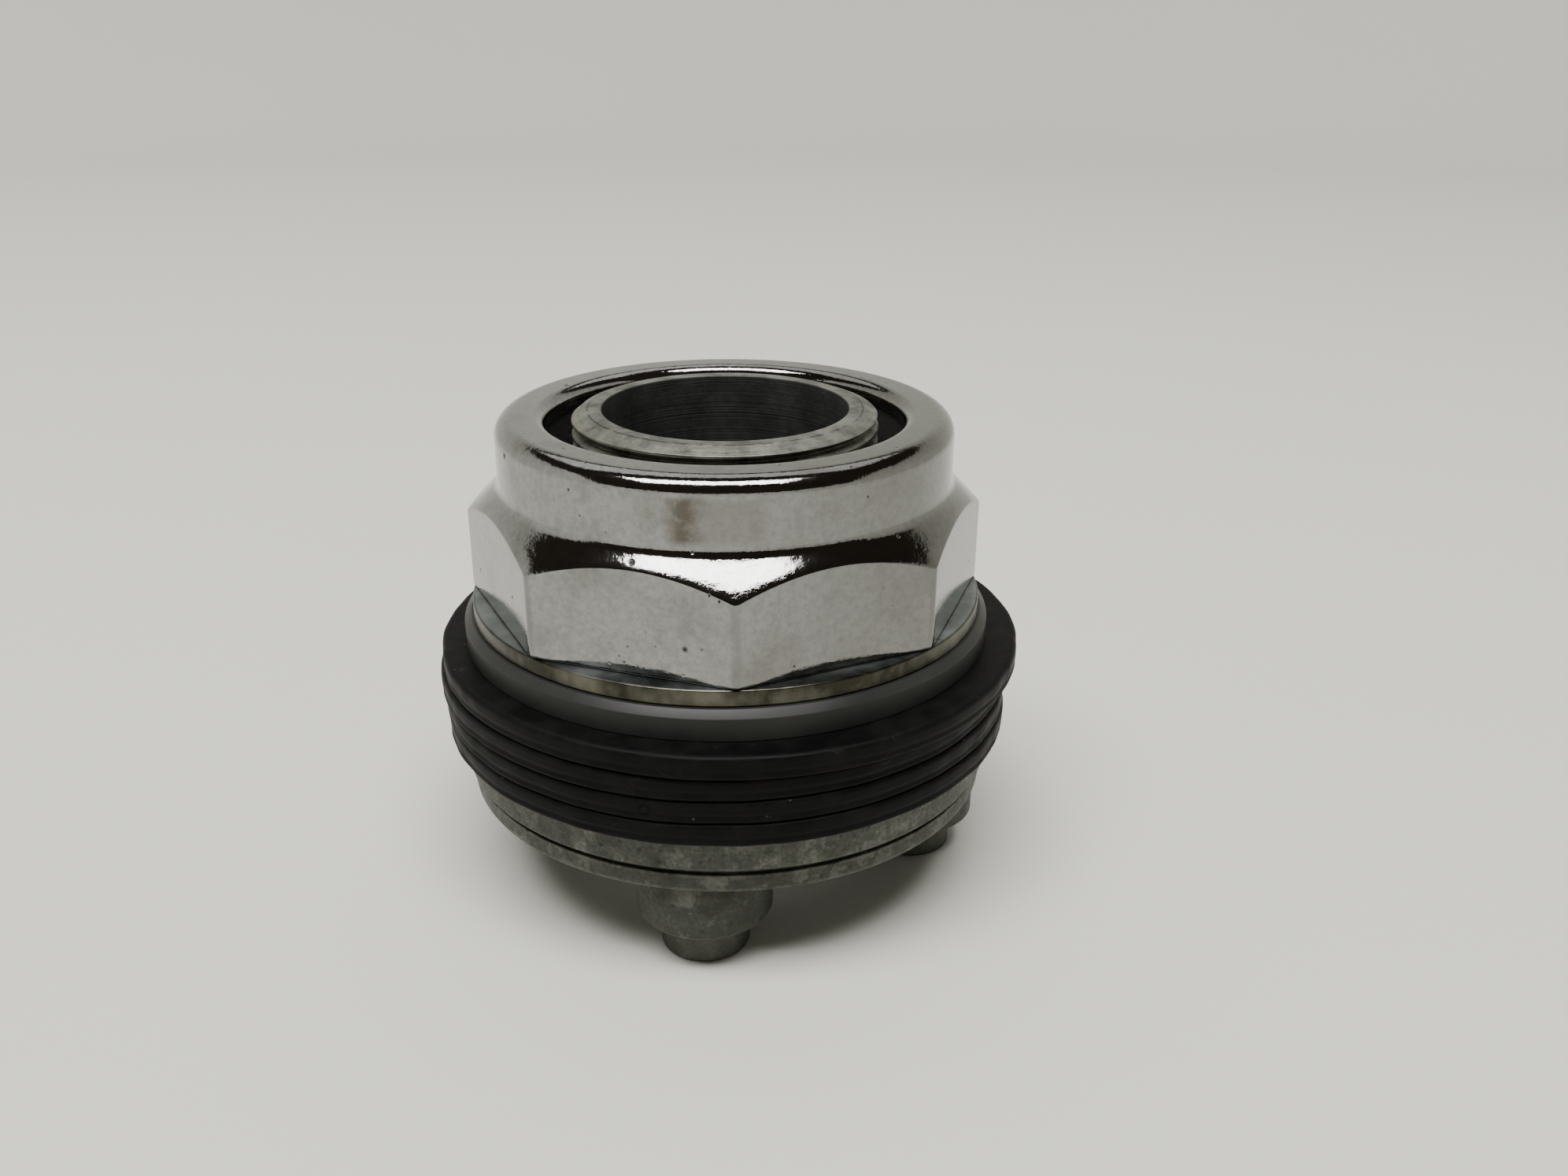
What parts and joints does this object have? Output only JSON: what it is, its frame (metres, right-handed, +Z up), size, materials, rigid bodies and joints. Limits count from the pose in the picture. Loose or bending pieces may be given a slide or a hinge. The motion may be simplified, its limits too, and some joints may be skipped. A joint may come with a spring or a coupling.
{
  "type": "panel operator bushing",
  "caption": "Front mounting bushing for a panel push button: ring nut, washer and rubber gaskets on a threaded neck, a sprung sleeve for the lens cap, and round posts underneath.",
  "frame": {"origin": "centre of the box's bottom, on the neck's axis in the plane of the post ends", "axes": "+Z up the neck's axis towards the lens side, -Y is the side seen from the front"},
  "size_m": [0.0435, 0.0432, 0.0353],
  "materials": {
    "base_casting": "dull die-cast zinc, mottled",
    "trim_ring": "satin dark grey",
    "thrust_washer": "bright zinc plate",
    "ring_nut": "polished chrome plate",
    "plunger_sleeve": "turned, dull zinc plate",
    "guide_bushing": "turned",
    "wiper_seal": "matt",
    "seal_retainer": "blackened",
    "snap_ring": "phosphated spring steel",
    "guide_key": "bright",
    "return_spring": "bright spring wire",
    "gasket_1": "matt black",
    "gasket_2": "matt black",
    "gasket_3": "matt black",
    "gasket_4": "matt black"
  },
  "bodies": {
    "housing": {"base_casting": "base_casting", "trim_ring": "trim_ring", "gasket_1": "gasket_1", "gasket_2": "gasket_2", "gasket_3": "gasket_3", "gasket_4": "gasket_4", "guide_bushing": "guide_bushing", "wiper_seal": "wiper_seal", "seal_retainer": "seal_retainer", "snap_ring": "snap_ring", "guide_key": "guide_key", "return_spring": "return_spring"},
    "washer": {"thrust_washer": "thrust_washer"},
    "nut": {"ring_nut": "ring_nut"},
    "sleeve": {"plunger_sleeve": "plunger_sleeve"}
  },
  "joints": [
    {"name": "sleeve_press", "type": "slide", "parent": "housing", "child": "sleeve", "axis": [0, 0, -1], "range_m": [0, 0.004], "stiffness_N_per_m": 900, "springref_m": -0.004, "deforming": ["return_spring"]},
    {"name": "washer_lift", "type": "slide", "parent": "housing", "child": "washer", "axis": [0, 0, 1], "range_m": [0, 0.0075]},
    {"name": "nut_unscrew", "type": "hinge", "parent": "washer", "child": "nut", "pos_m": [0, 0, 0.02185], "axis": [0, 0, 1], "range_deg": [0, 1800]}
  ],
  "couplings": [
    {"joint": "nut_unscrew", "follows": "washer_lift", "rad_per_m": 4188.8}
  ]
}
